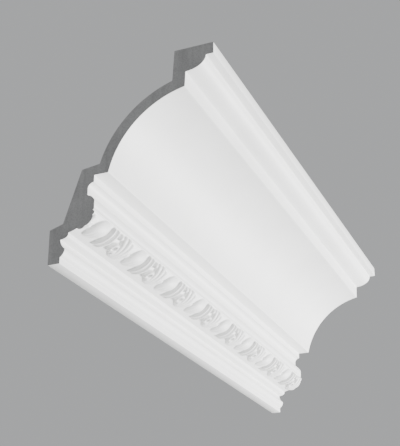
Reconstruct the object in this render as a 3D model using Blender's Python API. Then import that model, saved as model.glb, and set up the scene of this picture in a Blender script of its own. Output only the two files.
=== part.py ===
"""Cornice moulding length with a carved frieze band, cut square at both ends.

Metres, +Z up. The length runs along X, the wall is the plane Y = 0 and the moulding stands out
from it toward -Y. The origin is in the middle of the face that is glued to the wall.

The section is drawn as pairs (out, drop): the distance out from the wall and down from the
ceiling. The carving is drawn as pairs (across, down): across from the middle of the second rib
of a repeat, and down along the band's ground from its upper corner.
"""

import math

import bmesh
import bpy

# The length, one repeat of the carving, and where the first pair of ribs stands
LENGTH = 0.5336
REPEAT = 0.0667
FIRST_RIBS = 0.0410

# Members of the front, from the ceiling down: how far each steps back and how far it drops. The
# cove reaches back as far as the other members leave between the projection and the foot.
PROJECTION = 0.140
FOOT_OUT = 0.0106
TOP_FILLET_DROP = 0.0103
TOP_SOFFIT = 0.0065
OVOLO_BACK = 0.0175
OVOLO_DROP = 0.0115
FASCIA_DRAFT = 0.0007
FASCIA_DROP = 0.0135
COVE_DROP = 0.0634
COVE_RADIUS = 0.0821
COVE_SOFFIT = 0.0124
UPPER_FILLET_DROP = 0.0060
HOLLOW_BACK = 0.0052
HOLLOW_DROP = 0.0043
HOLLOW_RADIUS = 0.0058
LOWER_FILLET_DROP = 0.0066
ROLL_OUT = 0.0064
ROLL_DROP = 0.0057
ROLL_RADIUS = 0.0075
ROLL_FACE_DROP = 0.0074
BAND_BACK = 0.0218
BAND_DROP = 0.0164
BAND_RADIUS = 0.0326
LIP_FACE_DROP = 0.0013
LIP_BACK = 0.0068
LIP_DROP = 0.0036
FLARE_OUT = 0.0044
FLARE_DROP = 0.0080
FLARE_RADIUS = 0.0100
NOSE_BACK = 0.0040
NOSE_DROP = 0.0068
NOSE_RADIUS = 0.0085
FOOT_DROP = 0.0052

# The hollow behind the front
CEILING_PAD = 0.0340
PAD_DRAFT = 0.0016
SHELL = 0.0100
LEDGE_ABOVE = 0.0091
LEDGE_DROP = 0.0023
WEB = 0.0114
WALL_PAD = 0.0295
WALL_PAD_SLOPE = 0.0037
WALL_PAD_DEPTH = 0.0116

# How fine the rounds are
OVOLO_STEPS = 5
COVE_STEPS = 10
SMALL_STEPS = 3
BED_STEPS = 6

# How deep the body is cut out behind the band, how deep the band is rooted in it, and how it is
# let in at its two edges
BAND_BED = 0.0012
BAND_ROOT = 0.0028
BAND_TUCK = 0.0010
BAND_EDGE = 0.0003

# The carving swells out from the ground as one long cushion, cut into ribs, leaves and eggs
CUSHION_HEIGHT = 0.0041
CUSHION_MIDDLE = 0.0110
CUSHION_HALF = 0.0124
RIB_SPACING = 0.0062
RIB_HALF = 0.0021
RIB_TOP = 0.0024
RIB_SHARE = 0.95
GROOVE_SHARE = 0.10
LEAN = 0.36
LEAN_PIVOT = 0.0092
LEAN_RADIUS = 0.120
LEAF_START = 0.0034
LEAF_ROOT = (0.0240, 0.0240)
LEAF_TIPS = (
    (0.0141, 0.0036),
    (0.0208, 0.0034),
    (0.0268, 0.0062),
    (0.0307, 0.0130),
)
LEAF_ROOT_HALF = 0.0026
LEAF_TIP_HALF = 0.0042
LEAF_ROOT_SHARE = 0.75
BEAD_CENTRE = (0.0075, 0.0044)
BEAD_HALF = 0.0030
EYE_CENTRE = (0.0108, 0.0143)
EYE_HALF = 0.0046
EGG_CENTRE = (0.0468, 0.0112)
EGG_HALVES = (0.0099, 0.0106)

# How fine the carving is
RIB_COLUMNS = 4
LEAF_COLUMNS = 16
EGG_COLUMNS = 9
BAND_ROWS = 13
OVERRUN = 1

NAME = "cornice_moulding"
WHITE = (0.86, 0.86, 0.84, 1.0)


class Section:
    """A line of members, each drawn on from the end of the one before."""

    def __init__(self, out, drop):
        self.points = [(out, drop)]

    @property
    def end(self):
        return self.points[-1]

    def to(self, out, drop):
        self.points.append((out, drop))

    def by(self, out, drop):
        self.to(self.end[0] + out, self.end[1] + drop)

    def quarter(self, out, drop, steps):
        """A quarter round that leaves straight down and arrives level."""
        out_0, drop_0 = self.end
        for step in range(1, steps + 1):
            turn = math.pi / 2 * step / steps
            self.to(out_0 + out * (1 - math.cos(turn)), drop_0 + drop * math.sin(turn))

    def arc(self, out, drop, radius, steps, hollow):
        """An arc of a given radius to a point a step away, hollow or round seen from the room."""
        centre = arc_centre(self.end, (self.end[0] + out, self.end[1] + drop), radius, hollow)
        start = math.atan2(self.end[1] - centre[1], self.end[0] - centre[0])
        stop = math.atan2(self.end[1] + drop - centre[1], self.end[0] + out - centre[0])
        sweep = (stop - start + math.pi) % (2 * math.pi) - math.pi
        for step in range(1, steps + 1):
            turn = start + sweep * step / steps
            self.to(centre[0] + radius * math.cos(turn), centre[1] + radius * math.sin(turn))
        return centre


class Ground:
    """The round that the carving stands on, from its upper corner down to the lip."""

    def __init__(self, corner):
        stop = (corner[0] - BAND_BACK, corner[1] + BAND_DROP)
        self.centre = arc_centre(corner, stop, BAND_RADIUS, hollow=False)
        self.start = math.atan2(corner[1] - self.centre[1], corner[0] - self.centre[0])
        self.run = 2 * BAND_RADIUS * math.asin(math.hypot(BAND_BACK, BAND_DROP) / 2 / BAND_RADIUS)

    def point(self, down, height):
        """The section point at a height over the ground, some way down it."""
        turn = self.start + down / BAND_RADIUS
        reach = BAND_RADIUS + height
        return self.centre[0] + reach * math.cos(turn), self.centre[1] + reach * math.sin(turn)


def arc_centre(start, stop, radius, hollow):
    """The centre lies on the room's side of a hollow arc and on the wall's side of a round one."""
    half_out = (stop[0] - start[0]) / 2
    half_drop = (stop[1] - start[1]) / 2
    half = math.hypot(half_out, half_drop)
    reach = math.sqrt(max(radius**2 - half**2, 0.0)) / half
    side = 1 if hollow else -1
    return (
        start[0] + half_out + side * half_drop * reach,
        start[1] + half_drop - side * half_out * reach,
    )


def cove_back():
    """How far back the cove reaches."""
    above = TOP_SOFFIT + OVOLO_BACK + FASCIA_DRAFT
    middle = COVE_SOFFIT + HOLLOW_BACK - ROLL_OUT + BAND_BACK
    below = LIP_BACK - FLARE_OUT + NOSE_BACK
    return PROJECTION - above - middle - below - FOOT_OUT


def section_points():
    """The whole outline as a loop, and the arc that is the band's ground."""
    front = Section(PROJECTION, 0.0)
    front.by(0.0, TOP_FILLET_DROP)
    front.by(-TOP_SOFFIT, 0.0)
    front.quarter(-OVOLO_BACK, OVOLO_DROP, OVOLO_STEPS)
    front.by(-FASCIA_DRAFT, FASCIA_DROP)
    cove_centre = front.arc(-cove_back(), COVE_DROP, COVE_RADIUS, COVE_STEPS, hollow=True)
    cove_foot = front.end
    front.by(-COVE_SOFFIT, 0.0)
    upper_fillet = front.end
    front.by(0.0, UPPER_FILLET_DROP)
    front.arc(-HOLLOW_BACK, HOLLOW_DROP, HOLLOW_RADIUS, SMALL_STEPS, hollow=True)
    front.by(0.0, LOWER_FILLET_DROP)
    front.arc(ROLL_OUT, ROLL_DROP, ROLL_RADIUS, SMALL_STEPS, hollow=False)
    front.by(0.0, ROLL_FACE_DROP)
    ground = Ground(front.end)
    for step in range(BED_STEPS + 1):
        front.to(*ground.point(ground.run * step / BED_STEPS, -BAND_BED))
    front.to(*ground.point(ground.run, 0.0))
    front.by(0.0, LIP_FACE_DROP)
    front.quarter(-LIP_BACK, LIP_DROP, SMALL_STEPS)
    front.arc(FLARE_OUT, FLARE_DROP, FLARE_RADIUS, SMALL_STEPS, hollow=True)
    front.arc(-NOSE_BACK, NOSE_DROP, NOSE_RADIUS, SMALL_STEPS, hollow=False)
    front.by(0.0, FOOT_DROP)
    foot = front.end[1]

    back = Section(0.0, foot)
    back.to(0.0, foot - WALL_PAD)
    back.to(WALL_PAD_DEPTH, foot - WALL_PAD - WALL_PAD_SLOPE)
    ledge = cove_foot[1] - LEDGE_ABOVE
    back.to(upper_fillet[0] - WEB, ledge + LEDGE_DROP)
    radius = COVE_RADIUS + SHELL
    pad = PROJECTION - CEILING_PAD
    first = math.asin((ledge - cove_centre[1]) / radius)
    last = math.acos((pad - PAD_DRAFT - cove_centre[0]) / radius)
    start = math.pi - first
    stop = 2 * math.pi - last
    for step in range(COVE_STEPS + 1):
        turn = start + (stop - start) * step / COVE_STEPS
        back.to(cove_centre[0] + radius * math.cos(turn), cove_centre[1] + radius * math.sin(turn))
    back.to(pad, 0.0)
    return front.points + back.points, ground, foot


def lean(down):
    """How far the carving has leaned back at a depth: the ribs stand steeper above than below."""
    below = down - LEAN_PIVOT
    return -LEAN * below - max(below, 0.0) ** 2 / LEAN_RADIUS


def swell(distance):
    """A rounded crest: 1 on its line and 0 from a distance of 1 on."""
    return math.sqrt(max(1 - distance * distance, 0.0))


def cushion(down):
    """The carving's fullest height at a depth."""
    return CUSHION_HEIGHT * swell((down - CUSHION_MIDDLE) / CUSHION_HALF)


def rib_share(across, down):
    """The pair of ribs, and the floor of the grooves beside them."""
    crest = 0.0
    for place in (-RIB_SPACING, 0.0):
        crest = max(crest, swell((across - place) / RIB_HALF))
    return max(RIB_SHARE * crest * min(down / RIB_TOP, 1.0), GROOVE_SHARE)


def leaf_share(across, down):
    """Lobes that fan out from one root, each wider and fuller toward its tip."""
    share = 0.0
    for tip in LEAF_TIPS:
        run = (tip[0] - LEAF_ROOT[0], tip[1] - LEAF_ROOT[1])
        off = (across - LEAF_ROOT[0], down - LEAF_ROOT[1])
        along = (off[0] * run[0] + off[1] * run[1]) / (run[0] ** 2 + run[1] ** 2)
        along = min(max(along, 0.0), 1.0)
        away = math.hypot(off[0] - along * run[0], off[1] - along * run[1])
        half = LEAF_ROOT_HALF + (LEAF_TIP_HALF - LEAF_ROOT_HALF) * along
        full = LEAF_ROOT_SHARE + (1 - LEAF_ROOT_SHARE) * along
        share = max(share, full * swell(away / half))
    return share


def carved_height(across, down):
    """The carving's height over the ground at a point of one repeat."""
    egg_off = (across - EGG_CENTRE[0] + REPEAT / 2) % REPEAT - REPEAT / 2
    egg = math.hypot(egg_off / EGG_HALVES[0], (down - EGG_CENTRE[1]) / EGG_HALVES[1])
    eye = math.hypot(across - EYE_CENTRE[0], down - EYE_CENTRE[1]) / EYE_HALF
    bead = math.hypot(across - BEAD_CENTRE[0], down - BEAD_CENTRE[1]) / BEAD_HALF
    share = max(rib_share(across, down), leaf_share(across, down), swell(egg))
    return cushion(down) * max(share, swell(bead), swell(eye))


def columns_across():
    """Where the columns of one repeat stand: on the ribs and their grooves, then over the leaf
    and the egg."""
    groove = RIB_SPACING - 2 * RIB_HALF
    places = []
    for rib in (-RIB_SPACING, 0.0):
        places.append(rib - RIB_HALF - groove / 2)
        for column in range(RIB_COLUMNS):
            places.append(rib - RIB_HALF * math.cos(math.pi * (column + 0.5) / RIB_COLUMNS))
    egg_start = EGG_CENTRE[0] - EGG_HALVES[0]
    for column in range(LEAF_COLUMNS):
        places.append(LEAF_START + (egg_start - LEAF_START) * column / LEAF_COLUMNS)
    for column in range(EGG_COLUMNS):
        places.append(EGG_CENTRE[0] - EGG_HALVES[0] * math.cos(math.pi * column / EGG_COLUMNS))
    return places


def band_solid(ground):
    """The carved band, longer than the moulding and let into the body above, below and behind."""
    first, last = BAND_EDGE, ground.run - BAND_EDGE
    downs = [first + (last - first) * row / BAND_ROWS for row in range(BAND_ROWS + 1)]
    downs = [-BAND_TUCK, *downs, ground.run + BAND_TUCK]
    places = columns_across()
    columns = (math.ceil(LENGTH / REPEAT) + 2 * OVERRUN) * len(places)
    rows = len(downs) - 1

    mesh = bmesh.new()
    bmesh.ops.create_grid(mesh, x_segments=columns, y_segments=rows, size=0.5)
    bmesh.ops.solidify(mesh, geom=mesh.faces[:], thickness=1.0)
    for vertex in mesh.verts:
        column = round((vertex.co.x + 0.5) * columns)
        row = round((0.5 - vertex.co.y) * rows)
        down = downs[row]
        across = places[column % len(places)]
        height = carved_height(across, down)
        if row in (0, rows):
            height = -BAND_BED / 2
        if abs(vertex.co.z) > 0.5:
            height = -BAND_ROOT
        out, drop = ground.point(down, height)
        repeat = column // len(places) - OVERRUN
        along = FIRST_RIBS - LENGTH / 2 + repeat * REPEAT + across + lean(down)
        vertex.co = (along, -out, -drop)
    bmesh.ops.triangulate(mesh, faces=mesh.faces[:])
    bmesh.ops.recalc_face_normals(mesh, faces=mesh.faces[:])
    return mesh


def collection(name):
    result = bpy.data.collections.new(name)
    bpy.context.scene.collection.children.link(result)
    return result


def body_object(outline, target):
    """The outline as a flat curve, stood upright and extruded a little longer than the moulding."""
    curve = bpy.data.curves.new("outline", "CURVE")
    curve.dimensions = "2D"
    curve.fill_mode = "BOTH"
    curve.extrude = LENGTH / 2 + REPEAT
    spline = curve.splines.new("POLY")
    spline.points.add(len(outline) - 1)
    for point, (out, drop) in zip(spline.points, outline):
        point.co = (-out, -drop, 0.0, 1.0)
    spline.use_cyclic_u = True
    drawn = bpy.data.objects.new("outline", curve)
    target.objects.link(drawn)
    bpy.context.view_layer.update()
    data = bpy.data.meshes.new_from_object(drawn.evaluated_get(bpy.context.evaluated_depsgraph_get()))
    bpy.data.objects.remove(drawn)

    mesh = bmesh.new()
    mesh.from_mesh(data)
    bmesh.ops.remove_doubles(mesh, verts=mesh.verts[:], dist=0.00001)
    for vertex in mesh.verts:
        vertex.co = (vertex.co.z, vertex.co.x, vertex.co.y)
    bmesh.ops.recalc_face_normals(mesh, faces=mesh.faces[:])
    mesh.to_mesh(data)
    mesh.free()
    data.name = NAME
    result = bpy.data.objects.new(NAME, data)
    target.objects.link(result)
    return result


def guide_object(name, mesh, guides):
    data = bpy.data.meshes.new(name)
    mesh.to_mesh(data)
    mesh.free()
    result = bpy.data.objects.new(name, data)
    guides.objects.link(result)
    result.hide_render = True
    result.display_type = "WIRE"
    return result


def length_gauge():
    """A block that is as long as the moulding and larger every other way."""
    mesh = bmesh.new()
    bmesh.ops.create_cube(mesh, size=1.0)
    bmesh.ops.scale(mesh, vec=(LENGTH, 2.0, 2.0), verts=mesh.verts[:])
    return mesh


def combine(part, operation, other):
    modifier = part.modifiers.new(other.name, "BOOLEAN")
    modifier.operation = operation
    modifier.solver = "EXACT"
    modifier.object = other


def white_priming():
    material = bpy.data.materials.new("white_priming")
    material.use_nodes = True
    shader = material.node_tree.nodes["Principled BSDF"]
    shader.inputs["Base Color"].default_value = WHITE
    shader.inputs["Roughness"].default_value = 0.55
    shader.inputs["Metallic"].default_value = 0.0
    return material


def main():
    for old in list(bpy.data.objects):
        bpy.data.objects.remove(old)
    parts = collection("cornice_moulding_length")
    guides = collection("guides")
    outline, ground, foot = section_points()
    part = body_object(outline, parts)
    part.data.materials.append(white_priming())
    combine(part, "UNION", guide_object("carved_band", band_solid(ground), guides))
    combine(part, "INTERSECT", guide_object("length_gauge", length_gauge(), guides))
    for placed in (part, bpy.data.objects["carved_band"]):
        placed.location.z = foot - WALL_PAD / 2


main()
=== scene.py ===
"""The cornice moulding length, dressed: a fine carved band, primed front, raw back and cut ends.

The length runs along X, the wall is the plane Y = 0 with the moulding on its -Y side, and +Z is
up. Section points are pairs (out, drop): metres out from the wall and down from the ceiling.
Carving points are pairs (across, down): metres across from the second rib of a repeat, leaning
with the ribs, and down along the ground of the band.
"""

import logging
import math
from dataclasses import dataclass, field
from enum import Enum

import bmesh
import bpy
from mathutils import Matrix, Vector

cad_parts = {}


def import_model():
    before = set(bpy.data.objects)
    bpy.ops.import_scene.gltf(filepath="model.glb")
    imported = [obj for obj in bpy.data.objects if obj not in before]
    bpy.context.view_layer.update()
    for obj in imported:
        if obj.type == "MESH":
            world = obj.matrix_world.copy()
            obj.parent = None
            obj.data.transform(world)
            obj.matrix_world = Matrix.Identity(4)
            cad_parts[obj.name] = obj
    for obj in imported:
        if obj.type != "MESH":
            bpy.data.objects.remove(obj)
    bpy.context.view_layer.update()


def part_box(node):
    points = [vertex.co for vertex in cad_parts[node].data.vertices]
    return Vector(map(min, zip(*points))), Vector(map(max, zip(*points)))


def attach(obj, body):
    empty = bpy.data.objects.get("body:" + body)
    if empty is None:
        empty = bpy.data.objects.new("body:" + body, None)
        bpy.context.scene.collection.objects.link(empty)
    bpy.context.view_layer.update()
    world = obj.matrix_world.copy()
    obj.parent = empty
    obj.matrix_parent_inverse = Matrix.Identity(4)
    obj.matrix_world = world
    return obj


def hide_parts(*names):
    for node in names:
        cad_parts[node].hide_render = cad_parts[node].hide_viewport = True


NODE = "cornice_moulding"
LOG = logging.getLogger("cornice")

Point = tuple[float, float]
Place = tuple[float, float, float]


class Side(Enum):
    """Which skin a face of the moulding wears; the value is its material index."""

    FRONT = 0
    BACK = 1
    CUT = 2


class Bow(Enum):
    """Which way an arc bows, seen from the room."""

    HOLLOW = 1
    ROUND = -1


def swell(distance: float, power: float = 0.5) -> float:
    """A rounded crest: 1 on its line, 0 from a distance of 1 on."""
    return max(1.0 - distance * distance, 0.0) ** power


def ramp(value: float, start: float, stop: float) -> float:
    """Rises smoothly from 0 at start to 1 at stop.

    Args:
        value: where the ramp is read.
        start: the value that gives 0.
        stop: the value that gives 1; it may lie below start.

    Returns:
        A share from 0 to 1.
    """
    share = min(max((value - start) / (stop - start), 0.0), 1.0)
    return share * share * (3 - 2 * share)


def arc_centre(start: Point, stop: Point, radius: float, bow: Bow) -> Point:
    """The centre of an arc: on the room's side if it is hollow, else on the wall's side."""
    out, drop = stop[0] - start[0], stop[1] - start[1]
    half = math.hypot(out, drop) / 2
    reach = math.sqrt(max(radius**2 - half**2, 0.0)) / half / 2
    return (
        start[0] + out / 2 + bow.value * drop * reach,
        start[1] + drop / 2 - bow.value * out * reach,
    )


class Line:
    """A line of members, each drawn on from the end of the one before."""

    def __init__(self, out: float, drop: float) -> None:
        """Starts the line at a point."""
        self.points: list[Point] = [(out, drop)]

    @property
    def end(self) -> Point:
        """The point reached so far."""
        return self.points[-1]

    def to(self, out: float, drop: float) -> None:
        """Draws straight to a point."""
        self.points.append((out, drop))

    def by(self, out: float, drop: float) -> None:
        """Draws a straight step."""
        self.to(self.end[0] + out, self.end[1] + drop)

    def quarter(self, out: float, drop: float, steps: int) -> None:
        """Draws a quarter round that leaves straight down and arrives level."""
        first = self.end
        for step in range(1, steps + 1):
            turn = math.pi / 2 * step / steps
            self.to(first[0] + out * (1 - math.cos(turn)), first[1] + drop * math.sin(turn))

    def arc(self, out: float, drop: float, radius: float, steps: int, bow: Bow) -> Point:
        """Draws an arc of a given radius to a point a step away.

        Args:
            out: the step out from the wall.
            drop: the step down from the ceiling.
            radius: the arc's radius.
            steps: how many straight pieces it is drawn with.
            bow: which way it bows.

        Returns:
            The arc's centre.
        """
        first = self.end
        centre = arc_centre(first, (first[0] + out, first[1] + drop), radius, bow)
        start = math.atan2(first[1] - centre[1], first[0] - centre[0])
        stop = math.atan2(first[1] + drop - centre[1], first[0] + out - centre[0])
        sweep = (stop - start + math.pi) % (2 * math.pi) - math.pi
        for step in range(1, steps + 1):
            turn = start + sweep * step / steps
            self.to(centre[0] + radius * math.cos(turn), centre[1] + radius * math.sin(turn))
        return centre


@dataclass(frozen=True)
class Section:
    """The moulding's section: each member of the front by its step back and its drop."""

    projection: float = 0.140
    top_fillet: float = 0.0103
    top_soffit: float = 0.0065
    ovolo: Point = (0.0175, 0.0115)
    fascia: Point = (0.0007, 0.0135)
    cove: Point = (0.0653, 0.0634)
    cove_radius: float = 0.0821
    cove_soffit: float = 0.0124
    upper_fillet: float = 0.0060
    hollow: Point = (0.0052, 0.0043)
    hollow_radius: float = 0.0058
    lower_fillet: float = 0.0066
    roll: Point = (0.0064, 0.0057)
    roll_radius: float = 0.0075
    roll_face: float = 0.0074
    band: Point = (0.0218, 0.0164)
    lip_face: float = 0.0013
    lip: Point = (0.0068, 0.0036)
    flare: Point = (0.0044, 0.0080)
    flare_radius: float = 0.0100
    nose: Point = (0.0040, 0.0068)
    nose_radius: float = 0.0085
    foot: float = 0.0052
    ceiling_pad: float = 0.0340
    pad_draft: float = 0.0016
    shell: float = 0.0100
    ledge_above: float = 0.0091
    ledge_drop: float = 0.0023
    web: float = 0.0114
    wall_pad: float = 0.0295
    wall_pad_slope: float = 0.0037
    wall_pad_depth: float = 0.0116
    cove_steps: int = 40
    round_steps: int = 14
    small_steps: int = 9

    def above_band(self) -> Line:
        """The front from the ceiling's edge down to the face over the carved band."""
        line = Line(self.projection, 0.0)
        line.by(0.0, self.top_fillet)
        line.by(-self.top_soffit, 0.0)
        line.quarter(-self.ovolo[0], self.ovolo[1], self.round_steps)
        line.by(-self.fascia[0], self.fascia[1])
        line.arc(-self.cove[0], self.cove[1], self.cove_radius, self.cove_steps, Bow.HOLLOW)
        line.by(-self.cove_soffit, 0.0)
        line.by(0.0, self.upper_fillet)
        hollow = -self.hollow[0], self.hollow[1]
        line.arc(*hollow, self.hollow_radius, self.small_steps, Bow.HOLLOW)
        line.by(0.0, self.lower_fillet)
        line.arc(*self.roll, self.roll_radius, self.small_steps, Bow.ROUND)
        line.by(0.0, self.roll_face)
        return line

    def below_band(self) -> Line:
        """The front from under the lip's small face down to the foot's arris."""
        out, drop = self.above_band().end
        line = Line(out - self.band[0], drop + self.band[1] + self.lip_face)
        line.quarter(-self.lip[0], self.lip[1], self.small_steps)
        line.arc(*self.flare, self.flare_radius, self.small_steps, Bow.HOLLOW)
        line.arc(-self.nose[0], self.nose[1], self.nose_radius, self.small_steps, Bow.ROUND)
        line.by(0.0, self.foot)
        return line

    def back(self) -> Line:
        """The pads, web and shell, from the foot of the wall pad up to the ceiling pad."""
        foot = self.below_band().end[1]
        front = Line(self.projection - self.top_soffit - self.ovolo[0] - self.fascia[0], 0.0)
        front.by(0.0, self.top_fillet + self.ovolo[1] + self.fascia[1])
        centre = front.arc(-self.cove[0], self.cove[1], self.cove_radius, 1, Bow.HOLLOW)
        ledge = front.end[1] - self.ledge_above
        radius = self.cove_radius + self.shell
        pad = self.projection - self.ceiling_pad
        start = math.pi - math.asin((ledge - centre[1]) / radius)
        stop = 2 * math.pi - math.acos((pad - self.pad_draft - centre[0]) / radius)
        line = Line(0.0, foot)
        line.to(0.0, foot - self.wall_pad)
        line.to(self.wall_pad_depth, foot - self.wall_pad - self.wall_pad_slope)
        line.to(front.end[0] - self.cove_soffit - self.web, ledge + self.ledge_drop)
        for step in range(self.cove_steps + 1):
            turn = start + (stop - start) * step / self.cove_steps
            line.to(centre[0] + radius * math.cos(turn), centre[1] + radius * math.sin(turn))
        line.to(pad, 0.0)
        return line


class Ground:
    """The round that the carving stands on, from its upper corner down to the lip."""

    def __init__(self, corner: Point, band: Point, radius: float = 0.0326) -> None:
        """Lays the arc from the corner back and down to the band's lower edge."""
        self.radius = radius
        stop = (corner[0] - band[0], corner[1] + band[1])
        self.centre = arc_centre(corner, stop, radius, Bow.ROUND)
        self.start = math.atan2(corner[1] - self.centre[1], corner[0] - self.centre[0])
        self.run = 2 * radius * math.asin(math.hypot(*band) / 2 / radius)

    def point(self, down: float, height: float) -> Point:
        """The point that stands over the ground.

        Args:
            down: how far down the ground.
            height: how far in front of it.

        Returns:
            The point as a pair (out, drop).
        """
        turn = self.start + down / self.radius
        reach = self.radius + height
        return self.centre[0] + reach * math.cos(turn), self.centre[1] + reach * math.sin(turn)


@dataclass(frozen=True)
class Lobe:
    """A rounded ridge that widens and rises from its root to its tip."""

    root: Point
    tip: Point
    halves: Point
    shares: Point

    def share(self, across: float, down: float) -> float:
        """The lobe's share of the cushion's height at a place."""
        run = (self.tip[0] - self.root[0], self.tip[1] - self.root[1])
        off = (across - self.root[0], down - self.root[1])
        along = (off[0] * run[0] + off[1] * run[1]) / (run[0] ** 2 + run[1] ** 2)
        along = min(max(along, 0.0), 1.0)
        away = math.hypot(off[0] - along * run[0], off[1] - along * run[1])
        half = self.halves[0] + (self.halves[1] - self.halves[0]) * along
        full = self.shares[0] + (self.shares[1] - self.shares[0]) * along
        return full * swell(away / half)


@dataclass(frozen=True)
class Hole:
    """A drilled eye: where it stands, how wide it is and how much of the height it leaves."""

    centre: Point
    half: float
    floor: float
    edge: Point = (0.55, 1.25)

    def limit(self, across: float, down: float) -> float:
        """The highest share that the carving may have because of the hole."""
        away = math.hypot(across - self.centre[0], down - self.centre[1]) / self.half
        return self.floor + (1 - self.floor) * ramp(away, *self.edge)


@dataclass(frozen=True)
class Carving:
    """One repeat of the carved band: a long cushion cut into ribs, leaf and egg."""

    repeat: float = 0.0667
    first_ribs: float = 0.0410
    lean_share: float = 0.36
    lean_pivot: float = 0.0092
    lean_radius: float = 0.120
    tuck: float = -0.0006
    cushion_height: float = 0.0041
    cushion_middle: float = 0.0110
    cushion_half: float = 0.0124
    top_edge: float = 0.0012
    rib_places: tuple[float, ...] = (-0.0062, 0.0)
    rib_half: float = 0.0021
    rib_share: float = 0.95
    rib_top: Point = (0.0002, 0.0026)
    groove_share: float = -0.10
    egg_centre: Point = (0.0468, 0.0112)
    egg_halves: Point = (0.0099, 0.0106)
    egg_slant: float = 0.20
    egg_square: float = 2.4
    flutes: int = 5
    flute_share: float = 0.14
    flute_foot: float = 0.0186
    lobes: tuple[Lobe, ...] = (
        Lobe((0.0228, 0.0236), (0.0141, 0.0036), (0.0020, 0.0032), (0.70, 0.92)),
        Lobe((0.0238, 0.0236), (0.0208, 0.0034), (0.0020, 0.0034), (0.75, 1.00)),
        Lobe((0.0250, 0.0236), (0.0268, 0.0062), (0.0020, 0.0036), (0.75, 1.00)),
        Lobe((0.0262, 0.0236), (0.0307, 0.0130), (0.0020, 0.0038), (0.70, 0.92)),
        Lobe((0.0108, 0.0143), (0.0225, 0.0212), (0.0036, 0.0028), (0.80, 0.70)),
    )
    bead: Lobe = Lobe((0.0073, 0.0042), (0.0077, 0.0046), (0.0027, 0.0027), (0.98, 0.98))
    ring_radius: float = 0.0029
    ring_half: float = 0.0019
    ring_share: float = 0.98
    holes: tuple[Hole, ...] = (
        Hole((0.0108, 0.0143), 0.0017, 0.10),
        Hole((0.0335, 0.0138), 0.0014, 0.20),
        Hole((0.0165, 0.0198), 0.0011, 0.25),
    )

    def lean(self, down: float) -> float:
        """How far the carving has leaned back at a depth; it leans more below."""
        below = down - self.lean_pivot
        return -self.lean_share * below - max(below, 0.0) ** 2 / self.lean_radius

    def cushion(self, down: float) -> float:
        """The carving's fullest height at a depth."""
        return self.cushion_height * swell((down - self.cushion_middle) / self.cushion_half)

    def ribs(self, across: float, down: float) -> float:
        """The two ribs between one leaf and the next, and the floor of their grooves."""
        crest = max(swell((across - place) / self.rib_half) for place in self.rib_places)
        return max(self.rib_share * crest * ramp(down, *self.rib_top), self.groove_share)

    def ring(self, across: float, down: float) -> float:
        """The raised ring round the first drilled eye."""
        centre = self.holes[0].centre
        away = math.hypot(across - centre[0], down - centre[1])
        return self.ring_share * swell((away - self.ring_radius) / self.ring_half)

    def egg(self, across: float, down: float) -> float:
        """The smooth egg, squarer than an ellipse and softly fluted in its lower half."""
        off = (across - self.egg_centre[0] + self.repeat / 2) % self.repeat - self.repeat / 2
        side = abs(off / self.egg_halves[0])
        rise = abs((down - self.egg_centre[1] + self.egg_slant * off) / self.egg_halves[1])
        away = (side**self.egg_square + rise**self.egg_square) ** (1 / self.egg_square)
        wave = (1 + math.cos(math.pi * self.flutes * off / self.egg_halves[0])) / 2
        fluted = self.flute_share * wave * ramp(down, self.egg_centre[1], self.flute_foot)
        return (1 - fluted) * swell(away)

    def height(self, across: float, down: float) -> float:
        """The carving's height over the ground, in metres, at a place of one repeat."""
        shares = [lobe.share(across, down) for lobe in (*self.lobes, self.bead)]
        shares += [self.ribs(across, down), self.ribs(across - self.repeat, down)]
        shares += [self.egg(across, down), self.ring(across, down)]
        limit = min(hole.limit(across, down) for hole in self.holes)
        full = self.cushion(down) * min(max(shares), limit)
        return self.tuck + (full - self.tuck) * ramp(down, 0.0, self.top_edge)


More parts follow.
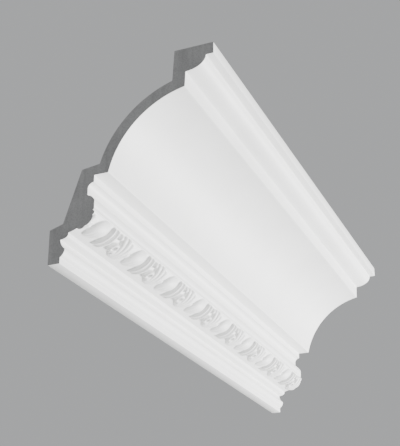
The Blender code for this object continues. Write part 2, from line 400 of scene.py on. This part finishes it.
@dataclass
class CorniceLength:
    """The moulding: the section drawn along the length, with the carved band let in."""

    section: Section = field(default_factory=Section)
    carving: Carving = field(default_factory=Carving)
    columns: int = 128
    rows: int = 76
    slices: int = 24
    arris: float = 0.0004
    arris_segments: int = 2
    sharp_from: float = math.radians(25)
    near: float = 0.00001

    def __post_init__(self) -> None:
        """Takes the length and the ceiling's height from the frame, and lays out the ground."""
        low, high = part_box(NODE)
        self.start: float = low[0]
        self.stop: float = high[0]
        self.ceiling: float = high[2]
        self.ground = Ground(self.section.above_band().end, self.section.band)

    def slice_at(self, mesh: bmesh.types.BMesh, place: float, outward: int = 0) -> None:
        """Cuts the mesh square at a place along the length.

        Args:
            mesh: the mesh to cut.
            place: where the cut stands.
            outward: the side that is cut away, -1 or 1, or 0 for none.
        """
        bmesh.ops.bisect_plane(
            mesh,
            geom=[*mesh.verts, *mesh.edges, *mesh.faces],
            plane_co=(place, 0, 0),
            plane_no=(outward or 1, 0, 0),
            clear_outer=bool(outward),
        )

    def draw_strip(self, mesh: bmesh.types.BMesh) -> None:
        """Draws every member but the carved band, as one open strip along the length."""
        front = self.section.below_band().points
        back = self.section.back().points
        outline = front + back + self.section.above_band().points
        vertices = [
            mesh.verts.new((self.start, -out, self.ceiling - drop)) for out, drop in outline
        ]
        edges = [mesh.edges.new(pair) for pair in zip(vertices, vertices[1:])]
        swept = bmesh.ops.extrude_edge_only(mesh, edges=edges)["geom"]
        moved = [part for part in swept if isinstance(part, bmesh.types.BMVert)]
        bmesh.ops.translate(mesh, vec=(self.stop - self.start, 0, 0), verts=moved)
        for number, edge in enumerate(edges):
            behind = len(front) <= number < len(front) + len(back) - 1
            edge.link_faces[0].material_index = (Side.BACK if behind else Side.FRONT).value

        along = [e for e in mesh.edges if abs(e.verts[0].co.x - e.verts[1].co.x) > self.near]
        arrises = [e for e in along if e.is_manifold and e.calc_face_angle() > self.sharp_from]
        bmesh.ops.bevel(
            mesh,
            geom=arrises,
            offset=self.arris,
            offset_type="OFFSET",
            segments=self.arris_segments,
            profile=0.5,
            affect="EDGES",
            material=-1,
        )
        for number in range(1, self.slices):
            self.slice_at(mesh, self.start + (self.stop - self.start) * number / self.slices)
        for edge in mesh.edges:
            edge.smooth = not (edge.is_manifold and edge.calc_face_angle() > self.sharp_from)

    def draw_band(self, mesh: bmesh.types.BMesh) -> None:
        """Draws the carved band as a grid whose columns lean with the ribs."""
        downs = [self.ground.run * row / self.rows for row in range(self.rows + 1)]
        repeat = self.carving.repeat
        repeats = math.ceil((self.stop - self.start) / repeat) + 2
        columns = repeats * self.columns
        one_repeat = [
            [
                self.ground.point(down, self.carving.height(repeat * column / self.columns, down))
                for down in downs
            ]
            for column in range(self.columns)
        ]
        bmesh.ops.create_grid(mesh, x_segments=columns, y_segments=len(downs) - 1, size=0.5)
        for vertex in mesh.verts:
            column = round((vertex.co.x + 0.5) * columns)
            row = round((0.5 - vertex.co.y) * (len(downs) - 1))
            out, drop = one_repeat[column % self.columns][row]
            along = (column / self.columns - 1) * repeat + self.carving.lean(downs[row])
            vertex.co = (
                self.start + self.carving.first_ribs + along,
                -out,
                self.ceiling - drop,
            )
        for place, outward in ((self.start, -1), (self.stop, 1)):
            self.slice_at(mesh, place, outward)

    def open_chain(self, mesh: bmesh.types.BMesh, point: Point) -> list[bmesh.types.BMEdge]:
        """The open edges that run along the length through a section point."""
        y, z = -point[0], self.ceiling - point[1]
        return [
            edge
            for edge in mesh.edges
            if edge.is_boundary
            and all(math.hypot(v.co.y - y, v.co.z - z) < self.near for v in edge.verts)
        ]

    def close_seams(self, mesh: bmesh.types.BMesh) -> None:
        """Joins the carved band to the members above and below it."""
        run = self.ground.run
        top = self.ground.point(0.0, self.carving.height(0.0, 0.0))
        upper = self.section.above_band().end, top
        lower = self.section.below_band().points[0], self.ground.point(run, 0.0)
        for strip_point, band_point in (upper, lower):
            edges = self.open_chain(mesh, strip_point) + self.open_chain(mesh, band_point)
            bmesh.ops.bridge_loops(mesh, edges=edges)

    def close_ends(self, mesh: bmesh.types.BMesh) -> None:
        """Fills the two square cut ends."""
        for place in (self.start, self.stop):
            rim = [
                edge
                for edge in mesh.edges
                if edge.is_boundary and all(abs(v.co.x - place) < self.near for v in edge.verts)
            ]
            cap = bmesh.ops.holes_fill(mesh, edges=rim, sides=0)["faces"]
            LOG.info("end at %.3f: %d rim edges, %d faces", place, len(rim), len(cap))
            for face in cap:
                face.material_index = Side.CUT.value
            for edge in rim:
                edge.smooth = False

    def build(self) -> bpy.types.Object:
        """Draws the whole moulding as one closed mesh.

        Returns:
            The finished piece, with its place in its mesh.
        """
        data = bpy.data.meshes.new("cornice_length")
        band = bmesh.new()
        self.draw_band(band)
        band.to_mesh(data)
        band.free()
        mesh = bmesh.new()
        self.draw_strip(mesh)
        mesh.from_mesh(data)
        self.close_seams(mesh)
        self.close_ends(mesh)
        bmesh.ops.recalc_face_normals(mesh, faces=mesh.faces[:])
        for face in mesh.faces:
            face.smooth = True
        LOG.info("open or doubled edges: %d", sum(not edge.is_manifold for edge in mesh.edges))
        mesh.to_mesh(data)
        mesh.free()
        piece = bpy.data.objects.new("cornice_length", data)
        bpy.context.scene.collection.objects.link(piece)
        LOG.info("triangles: %d", sum(len(polygon.vertices) - 2 for polygon in data.polygons))
        return piece


# The span of the noise that a mask spreads from 0 to 1, and how deep a bump is at full strength
MASK_SPAN = (0.32, 0.68)
BUMP_DEPTH = 0.0002

# The sockets of a mix node that carry colour: its two inputs and its result
MIX_FIRST, MIX_SECOND, MIX_RESULT = 6, 7, 2


class Grain(Enum):
    """Two patterns over the piece's own coordinates that the finishes share as node groups."""

    MOTTLE = ("mottle", 5.0, 0.62)
    GRIT = ("grit", 2.0, 0.45)

    def __init__(self, label: str, detail: float, roughness: float) -> None:
        """Names the pattern and says how fine and how harsh its noise is."""
        self.label = label
        self.detail = detail
        self.roughness = roughness

    @property
    def group(self) -> bpy.types.NodeTree:
        """The node group, drawn the first time that a finish asks for it."""
        return bpy.data.node_groups.get(self.label) or self.draw()

    def draw(self) -> bpy.types.NodeTree:
        """Draws the pattern.

        Returns:
            A group that turns a scale and a strength into a mask from 0 to 1 and a normal.
        """
        group = bpy.data.node_groups.new(self.label, "ShaderNodeTree")
        for name in ("Scale", "Strength"):
            group.interface.new_socket(name, in_out="INPUT", socket_type="NodeSocketFloat")
        group.interface.new_socket("Mask", in_out="OUTPUT", socket_type="NodeSocketFloat")
        group.interface.new_socket("Normal", in_out="OUTPUT", socket_type="NodeSocketVector")
        nodes, links = group.nodes, group.links
        given = nodes.new("NodeGroupInput")
        asked = nodes.new("NodeGroupOutput")
        place = nodes.new("ShaderNodeTexCoord")
        noise = nodes.new("ShaderNodeTexNoise")
        noise.inputs["Detail"].default_value = self.detail
        noise.inputs["Roughness"].default_value = self.roughness
        spread = nodes.new("ShaderNodeMapRange")
        spread.inputs["From Min"].default_value, spread.inputs["From Max"].default_value = MASK_SPAN
        bump = nodes.new("ShaderNodeBump")
        bump.inputs["Distance"].default_value = BUMP_DEPTH
        links.new(place.outputs["Object"], noise.inputs["Vector"])
        links.new(given.outputs["Scale"], noise.inputs["Scale"])
        links.new(noise.outputs["Fac"], spread.inputs["Value"])
        links.new(given.outputs["Strength"], bump.inputs["Strength"])
        links.new(noise.outputs["Fac"], bump.inputs["Height"])
        links.new(spread.outputs["Result"], asked.inputs["Mask"])
        links.new(bump.outputs["Normal"], asked.inputs["Normal"])
        return group


@dataclass(frozen=True)
class Finish:
    """A finish of primer or foam: two close colours, a span of roughness and two grains."""

    name: str
    light: Place
    dark: Place
    roughness: Point
    mottle_scale: float
    grit_scale: float
    grit_strength: float

    def grain(self, tree: bpy.types.NodeTree, kind: Grain, scale: float) -> bpy.types.Node:
        """Sets a shared pattern into the material at a scale."""
        node = tree.nodes.new("ShaderNodeGroup")
        node.node_tree = kind.group
        node.inputs["Scale"].default_value = scale
        return node

    def material(self) -> bpy.types.Material:
        """Builds the finish.

        Returns:
            The material, shaded by its two grains.
        """
        material = bpy.data.materials.new(self.name)
        material.use_nodes = True
        tree = material.node_tree
        shader = tree.nodes["Principled BSDF"]
        mottle = self.grain(tree, Grain.MOTTLE, self.mottle_scale)
        grit = self.grain(tree, Grain.GRIT, self.grit_scale)
        grit.inputs["Strength"].default_value = self.grit_strength
        colour = tree.nodes.new("ShaderNodeMix")
        colour.data_type = "RGBA"
        colour.inputs[MIX_FIRST].default_value = (*self.light, 1.0)
        colour.inputs[MIX_SECOND].default_value = (*self.dark, 1.0)
        sheen = tree.nodes.new("ShaderNodeMapRange")
        sheen.inputs["To Min"].default_value, sheen.inputs["To Max"].default_value = self.roughness
        tree.links.new(mottle.outputs["Mask"], colour.inputs[0])
        tree.links.new(colour.outputs[MIX_RESULT], shader.inputs["Base Color"])
        tree.links.new(grit.outputs["Mask"], sheen.inputs["Value"])
        tree.links.new(sheen.outputs["Result"], shader.inputs["Roughness"])
        tree.links.new(grit.outputs["Normal"], shader.inputs["Normal"])
        self.detail(tree, shader, colour)
        return material

    def detail(
        self, tree: bpy.types.NodeTree, shader: bpy.types.Node, colour: bpy.types.Node
    ) -> None:
        """Adds what only this finish has; plain primer has nothing more."""


@dataclass(frozen=True)
class CutFoam(Finish):
    """The sawn ends: closed cells and the faint upright marks of the blade."""

    cell_scale: float = 900.0
    cell_reach: float = 0.6
    cell_dark: float = 0.72
    mark_scale: Place = (1.0, 260.0, 6.0)
    mark_span: Point = (0.3, 0.7)
    mark_dark: float = 0.86

    def detail(
        self, tree: bpy.types.NodeTree, shader: bpy.types.Node, colour: bpy.types.Node
    ) -> None:
        """Darkens the cells and streaks the face with saw marks."""
        place = tree.nodes.new("ShaderNodeTexCoord")
        cells = tree.nodes.new("ShaderNodeTexVoronoi")
        cells.inputs["Scale"].default_value = self.cell_scale
        shade = tree.nodes.new("ShaderNodeMapRange")
        shade.inputs["From Max"].default_value = self.cell_reach
        shade.inputs["To Min"].default_value = self.cell_dark
        stretch = tree.nodes.new("ShaderNodeVectorMath")
        stretch.operation = "MULTIPLY"
        stretch.inputs[1].default_value = self.mark_scale
        marks = tree.nodes.new("ShaderNodeTexNoise")
        marks.inputs["Scale"].default_value = 1.0
        streak = tree.nodes.new("ShaderNodeMapRange")
        streak.inputs["From Min"].default_value, streak.inputs["From Max"].default_value = (
            self.mark_span
        )
        streak.inputs["To Min"].default_value = self.mark_dark
        both = tree.nodes.new("ShaderNodeMath")
        both.operation = "MULTIPLY"
        darker = tree.nodes.new("ShaderNodeVectorMath")
        darker.operation = "SCALE"
        tree.links.new(place.outputs["Object"], cells.inputs["Vector"])
        tree.links.new(place.outputs["Object"], stretch.inputs[0])
        tree.links.new(stretch.outputs["Vector"], marks.inputs["Vector"])
        tree.links.new(cells.outputs["Distance"], shade.inputs["Value"])
        tree.links.new(marks.outputs["Fac"], streak.inputs["Value"])
        tree.links.new(shade.outputs["Result"], both.inputs[0])
        tree.links.new(streak.outputs["Result"], both.inputs[1])
        tree.links.new(colour.outputs[MIX_RESULT], darker.inputs[0])
        tree.links.new(both.outputs["Value"], darker.inputs["Scale"])
        tree.links.new(darker.outputs["Vector"], shader.inputs["Base Color"])


FINISHES = (
    Finish(
        "white_priming",
        light=(0.88, 0.88, 0.87),
        dark=(0.83, 0.83, 0.82),
        roughness=(0.46, 0.60),
        mottle_scale=14.0,
        grit_scale=1300.0,
        grit_strength=0.16,
    ),
    Finish(
        "raw_skin",
        light=(0.74, 0.73, 0.70),
        dark=(0.67, 0.66, 0.63),
        roughness=(0.70, 0.92),
        mottle_scale=32.0,
        grit_scale=420.0,
        grit_strength=0.55,
    ),
    CutFoam(
        "cut_foam",
        light=(0.43, 0.43, 0.43),
        dark=(0.36, 0.36, 0.36),
        roughness=(0.82, 0.98),
        mottle_scale=45.0,
        grit_scale=1500.0,
        grit_strength=0.60,
    ),
)


@dataclass(frozen=True)
class Lamp:
    """One square soft light: where it hangs, what it faces, its size and its power."""

    name: str
    place: Place
    target: Place
    size: float
    power: float

    def hang(self) -> None:
        """Hangs the light in the scene."""
        lamp = bpy.data.lights.new(self.name, "AREA")
        lamp.shape = "SQUARE"
        lamp.size = self.size
        lamp.energy = self.power
        holder = bpy.data.objects.new(self.name, lamp)
        bpy.context.scene.collection.objects.link(holder)
        holder.location = self.place
        facing = Vector(self.target) - Vector(self.place)
        holder.rotation_euler = facing.to_track_quat("-Z", "Y").to_euler()


@dataclass(frozen=True)
class Studio:
    """The floor, the light and the camera."""

    floor: float = -1.90
    floor_half: float = 30.0
    floor_colour: Place = (0.55, 0.55, 0.55)
    floor_roughness: float = 0.9
    air_colour: Place = (0.60, 0.61, 0.62)
    air_strength: float = 0.74
    near_distance: float = 0.614
    camera_out: float = 0.3866
    camera_drop: float = 0.4537
    lens: float = 80.0
    aim: Place = (-0.135, -0.073, 0.063)
    clip_start: float = 0.01
    lamps: tuple[Lamp, ...] = (
        Lamp("key", (1.5, -1.6, -0.75), (0.0, -0.05, 0.05), 0.4, 190),
        Lamp("front_fill", (-0.4, -2.3, -0.1), (0.0, -0.05, 0.05), 1.6, 34),
        Lamp("back_fill", (-0.5, 2.4, 1.0), (0.0, 0.0, 0.05), 1.6, 40),
    )

    def stand_camera(self) -> None:
        """Stands the camera where the photograph was taken from, below and to the right."""
        low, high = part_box(NODE)
        camera = bpy.data.cameras.new("camera")
        camera.lens = self.lens
        camera.clip_start = self.clip_start
        place = Vector((low[0] - self.near_distance, -self.camera_out, high[2] - self.camera_drop))
        holder = bpy.data.objects.new("camera", camera)
        bpy.context.scene.collection.objects.link(holder)
        holder.location = place
        holder.rotation_euler = (Vector(self.aim) - place).to_track_quat("-Z", "Y").to_euler()
        bpy.context.scene.camera = holder

    def lay_floor(self) -> None:
        """Lays the plain pale floor."""
        mesh = bmesh.new()
        bmesh.ops.create_grid(mesh, x_segments=1, y_segments=1, size=self.floor_half)
        bmesh.ops.translate(mesh, vec=(0, 0, self.floor), verts=mesh.verts[:])
        data = bpy.data.meshes.new("floor")
        mesh.to_mesh(data)
        mesh.free()
        floor = bpy.data.objects.new("floor", data)
        bpy.context.scene.collection.objects.link(floor)
        material = bpy.data.materials.new("floor")
        material.use_nodes = True
        shader = material.node_tree.nodes["Principled BSDF"]
        shader.inputs["Base Color"].default_value = (*self.floor_colour, 1.0)
        shader.inputs["Roughness"].default_value = self.floor_roughness
        data.materials.append(material)

    def set_up(self) -> None:
        """Builds the whole studio."""
        self.stand_camera()
        self.lay_floor()
        world = bpy.data.worlds.new("studio")
        world.use_nodes = True
        background = world.node_tree.nodes["Background"]
        background.inputs["Color"].default_value = (*self.air_colour, 1.0)
        background.inputs["Strength"].default_value = self.air_strength
        bpy.context.scene.world = world
        for lamp in self.lamps:
            lamp.hang()


def main() -> None:
    """Builds the studio and the moulding, and notes the sizes."""
    logging.basicConfig(level=logging.INFO, format="%(name)s: %(message)s")
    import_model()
    Studio().set_up()
    piece = CorniceLength().build()
    for finish in FINISHES:
        piece.data.materials.append(finish.material())
    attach(piece, "root")
    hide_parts(NODE)


if __name__ == "__main__":
    main()
